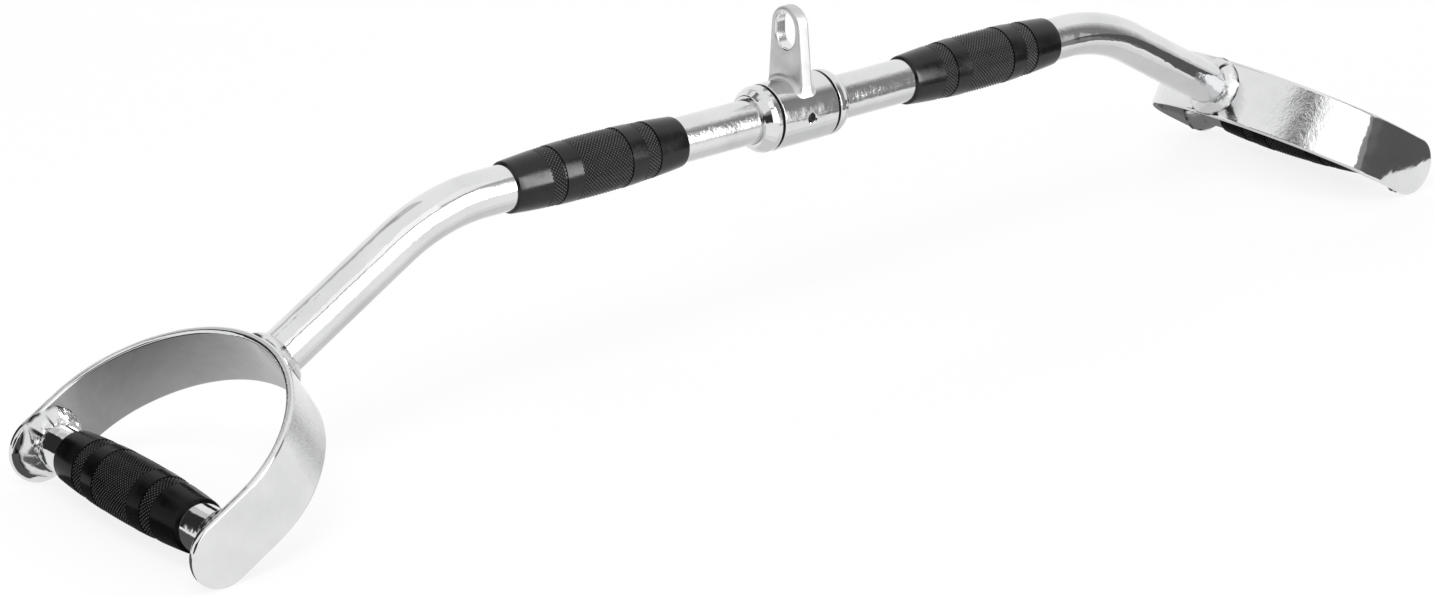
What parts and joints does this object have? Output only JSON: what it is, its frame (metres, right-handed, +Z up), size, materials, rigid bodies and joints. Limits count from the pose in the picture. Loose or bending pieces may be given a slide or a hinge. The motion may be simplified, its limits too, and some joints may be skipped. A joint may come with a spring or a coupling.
{
  "type": "lat pulldown bar",
  "caption": "Bent chromed lat pulldown bar with rubber grips on its straight span, a welded D handle with a grip at each end and a turning eye hanger in the middle.",
  "frame": {"origin": "middle of the underside of the bounding box, on the surface that the four leg ends stand on", "axes": "+X along the bar to the right, +Y to the back, +Z up to the eye"},
  "size_m": [0.9984, 0.193, 0.2067],
  "materials": {
    "chrome_steel": "polished chrome plate on bent steel tube, strip and turned rings",
    "weld_chrome": "chrome plate over a lumpy weld bead",
    "satin_steel": "satin plate on a forged tab with rounded edges",
    "grip_rubber": "black rubber with smooth bands and fine diamond knurl",
    "washer_nylon": "plain black plastic",
    "bush_bronze": "plain sintered bronze, out of sight"
  },
  "bodies": {
    "bar": {"main_bar": "chrome_steel", "bar_grip_left": "grip_rubber", "collar_left": "chrome_steel", "washer_left": "washer_nylon", "stirrup_left": "chrome_steel", "arm_weld_left": "weld_chrome", "crossbar_left": "chrome_steel", "crossbar_grip_left": "grip_rubber", "crossbar_weld_left_front": "weld_chrome", "crossbar_weld_left_back": "weld_chrome", "bar_grip_right": "grip_rubber", "collar_right": "chrome_steel", "washer_right": "washer_nylon", "stirrup_right": "chrome_steel", "arm_weld_right": "weld_chrome", "crossbar_right": "chrome_steel", "crossbar_grip_right": "grip_rubber", "crossbar_weld_right_front": "weld_chrome", "crossbar_weld_right_back": "weld_chrome"},
    "hanger": {"hanger_sleeve": "chrome_steel", "hanger_tab": "satin_steel", "hanger_tab_weld": "satin_steel", "bush_left": "bush_bronze", "bush_right": "bush_bronze"}
  },
  "joints": [
    {"name": "hanger_swivel", "type": "hinge", "parent": "bar", "child": "hanger", "pos_m": [0, 0, 0.13991], "axis": [1, 0, 0], "continuous": true}
  ]
}
